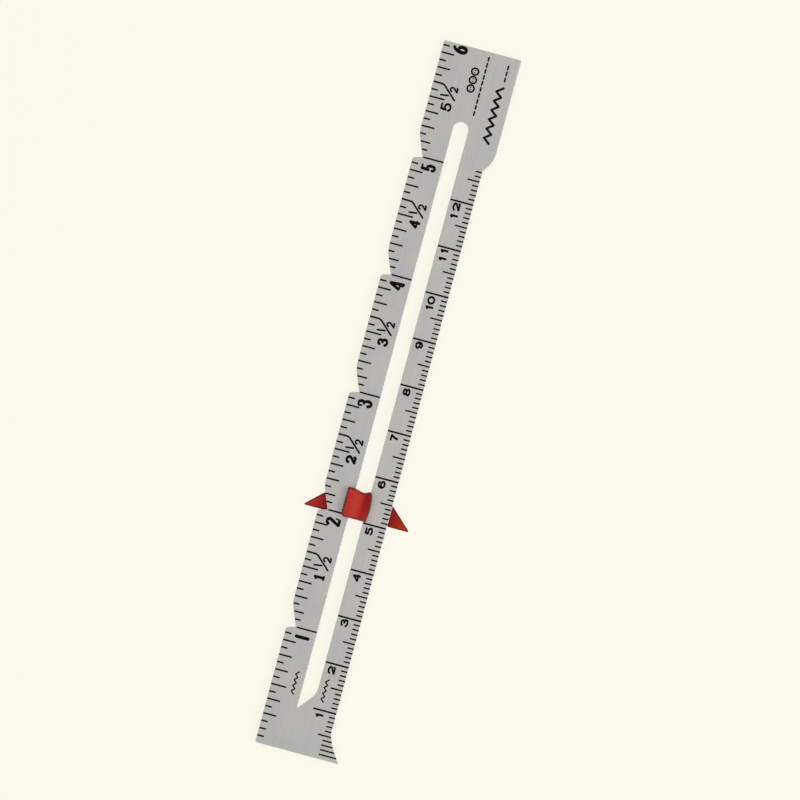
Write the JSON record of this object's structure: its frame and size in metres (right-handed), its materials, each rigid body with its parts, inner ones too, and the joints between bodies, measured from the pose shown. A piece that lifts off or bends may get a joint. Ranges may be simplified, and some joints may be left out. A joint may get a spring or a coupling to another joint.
{
  "type": "sewing ruler",
  "caption": "Flat aluminium sewing gauge with inch and metric edges, a long closed slot, and a red double-pointed marker that slides in it.",
  "frame": {"origin": "under the middle of the part, on the surface that the marker's back rests on; across, it is the centre line of the slot and of the marker", "axes": "+Y runs along the rule from the zero end to the head, +X points from the inch edge to the metric edge, +Z points out of the face that carries the scales"},
  "size_m": [0.0226, 0.1518, 0.0044],
  "materials": {
    "blade_aluminium": "satin",
    "pointer_red": "moulded, semi-gloss",
    "grip_red": "moulded, semi-gloss"
  },
  "bodies": {
    "rule": {"rule_blade": "blade_aluminium"},
    "marker": {"pointer_plate": "pointer_red", "slider_grip": "grip_red"}
  },
  "joints": [
    {"name": "marker_slide", "type": "slide", "parent": "rule", "child": "marker", "axis": [0, 1, 0], "range_m": [-0.0385, 0.0813]}
  ]
}
